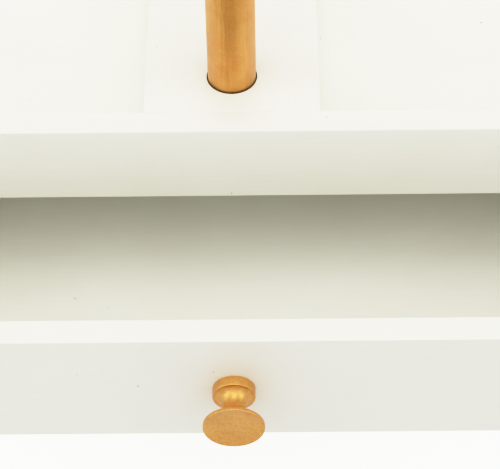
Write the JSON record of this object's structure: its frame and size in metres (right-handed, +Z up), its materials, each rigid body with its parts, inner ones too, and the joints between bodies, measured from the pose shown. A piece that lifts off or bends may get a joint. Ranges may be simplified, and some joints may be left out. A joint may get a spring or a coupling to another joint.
{
  "type": "jewellery chest with drawers",
  "caption": "Ivory wooden jewellery chest with knobbed drawers, an open tray in its top and gold T-bar hangers standing on the tray's middle block.",
  "frame": {"origin": "middle of the felt's underside, on the surface that the chest stands on, under the middle of the case", "axes": "+Z up the posts, -Y out of the front, the way the drawers open, +X to the right of someone who faces the front"},
  "size_m": [0.3, 0.267, 0.4235],
  "materials": {
    "ivory_paint": "satin paint",
    "back_board": "thin paint",
    "bare_wood": "planed",
    "gold_finish": "brushed gold",
    "steel": "zinc plated",
    "felt": "felt"
  },
  "bodies": {
    "case": {"base_felt": "felt", "bottom_panel": "ivory_paint", "side_panel_left": "ivory_paint", "side_panel_right": "ivory_paint", "drawer_divider": "ivory_paint", "back_panel": "back_board", "back_panel_brads": "steel", "case_dowels": "bare_wood", "tray_front_wall": "ivory_paint", "tray_back_wall": "ivory_paint", "tray_floor": "ivory_paint", "post_block": "ivory_paint", "drawer_kicker_left": "bare_wood", "drawer_kicker_right": "bare_wood", "front_post": "gold_finish", "front_post_plug": "steel", "front_post_bolt": "steel", "front_post_washer": "steel", "front_post_dome": "gold_finish", "front_bar": "gold_finish", "front_bar_cap_left": "gold_finish", "front_bar_cap_right": "gold_finish", "front_bar_set_screw": "steel", "rear_post": "gold_finish", "rear_post_plug": "steel", "rear_post_bolt": "steel", "rear_post_washer": "steel", "rear_post_dome": "gold_finish", "rear_bar": "gold_finish", "rear_bar_cap_left": "gold_finish", "rear_bar_cap_right": "gold_finish", "rear_bar_set_screw": "steel"},
    "upper_drawer": {"upper_drawer_front": "ivory_paint", "upper_drawer_side_left": "ivory_paint", "upper_drawer_side_right": "ivory_paint", "upper_drawer_back": "ivory_paint", "upper_drawer_floor": "ivory_paint", "upper_drawer_brads": "steel", "upper_knob": "gold_finish", "upper_knob_screw": "steel"},
    "lower_drawer": {"lower_drawer_front": "ivory_paint", "lower_drawer_side_left": "ivory_paint", "lower_drawer_side_right": "ivory_paint", "lower_drawer_back": "ivory_paint", "lower_drawer_floor": "ivory_paint", "lower_drawer_brads": "steel", "lower_knob": "gold_finish", "lower_knob_screw": "steel"}
  },
  "joints": [
    {"name": "upper_drawer_slide", "type": "slide", "parent": "case", "child": "upper_drawer", "axis": [0, -1, 0], "range_m": [-0.061, 0.069]},
    {"name": "lower_drawer_slide", "type": "slide", "parent": "case", "child": "lower_drawer", "axis": [0, -1, 0], "range_m": [0, 0.13]}
  ]
}
